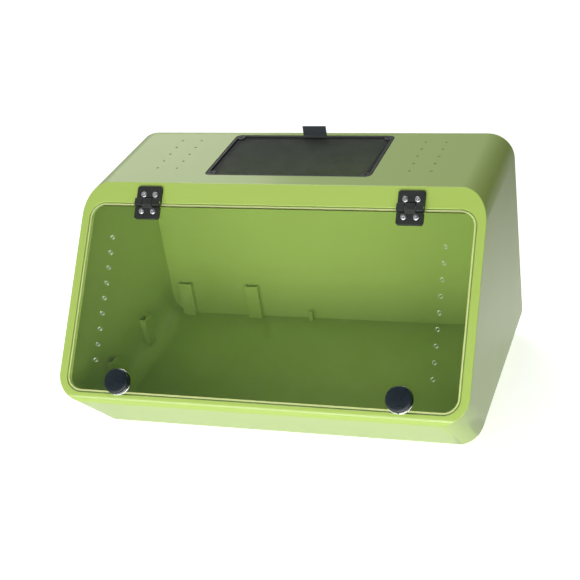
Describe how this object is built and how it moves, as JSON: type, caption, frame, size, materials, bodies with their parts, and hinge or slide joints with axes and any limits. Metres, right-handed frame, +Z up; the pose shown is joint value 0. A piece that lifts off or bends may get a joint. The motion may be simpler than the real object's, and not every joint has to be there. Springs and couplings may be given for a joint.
{
  "type": "front-opening ventilated enclosure",
  "caption": "Sloping-front plastic enclosure with a clear flip-up door on two black hinges, round knob latches, and a lift-out mesh lid with a pull tab.",
  "frame": {"origin": "on the plane the feet stand on, midway between the sides and midway between the foremost and rearmost points", "axes": "+X to the right seen from the door, +Y from the door towards the back panel, +Z up"},
  "size_m": [0.4, 0.2698, 0.234],
  "materials": {
    "shell": "satin moulded plastic",
    "shell_back": "satin moulded plastic",
    "shell_clip": "satin moulded plastic",
    "rubber": "matt",
    "clear_door": "polished clear acrylic",
    "hinge_plastic": "fine moulded grain",
    "knob_plastic": "satin",
    "lid_plastic": "satin",
    "mesh_screen": "fine woven screen",
    "pull_tab": "woven tape",
    "magnet": "nickel plated",
    "chrome_ring": "polished",
    "bare_steel": "plain",
    "screw_steel": "bright zinc"
  },
  "bodies": {
    "cabinet": {"housing": "shell", "back_panel": "shell_back", "back_panel_screws": "screw_steel", "foot_front_left": "rubber", "foot_front_right": "rubber", "foot_rear_left": "rubber", "foot_rear_right": "rubber", "frame_hinge_leaf_left": "hinge_plastic", "frame_hinge_leaf_right": "hinge_plastic", "frame_hinge_screws": "screw_steel", "frame_hinge_nuts": "screw_steel", "hinge_pin_left": "bare_steel", "hinge_pin_right": "bare_steel", "wall_clip_back_left": "shell_clip", "wall_clip_back_mid": "shell_clip", "wall_clip_side_rear": "shell_clip", "wall_clip_side_front": "shell_clip", "locating_post": "shell_clip", "roof_magnets": "magnet"},
    "door": {"door_panel": "clear_door", "door_hinge_leaf_left": "hinge_plastic", "door_hinge_leaf_right": "hinge_plastic", "door_hinge_screws": "screw_steel", "door_hinge_nuts": "screw_steel", "latch_ring_left": "chrome_ring", "latch_ring_right": "chrome_ring"},
    "latch_left": {"latch_knob_left": "knob_plastic", "latch_cam_left": "bare_steel", "latch_screw_left": "screw_steel"},
    "latch_right": {"latch_knob_right": "knob_plastic", "latch_cam_right": "bare_steel", "latch_screw_right": "screw_steel"},
    "lid": {"lid_frame": "lid_plastic", "lid_mesh": "mesh_screen", "lid_tab": "pull_tab", "lid_magnets": "magnet"}
  },
  "joints": [
    {"name": "door_hinge", "type": "hinge", "parent": "cabinet", "child": "door", "pos_m": [0, -0.00549, 0.21122], "axis": [-1, 0, 0], "range_deg": [0, 180]},
    {"name": "latch_left_turn", "type": "hinge", "parent": "door", "child": "latch_left", "pos_m": [-0.1372, -0.12212, 0.08029], "axis": [0, -0.7314, 0.682], "range_deg": [0, 90]},
    {"name": "latch_right_turn", "type": "hinge", "parent": "door", "child": "latch_right", "pos_m": [0.1372, -0.12212, 0.08029], "axis": [0, -0.7314, 0.682], "range_deg": [0, 90]},
    {"name": "lid_lift", "type": "slide", "parent": "cabinet", "child": "lid", "axis": [0, 0, 1], "range_m": [0, 0.02]}
  ]
}
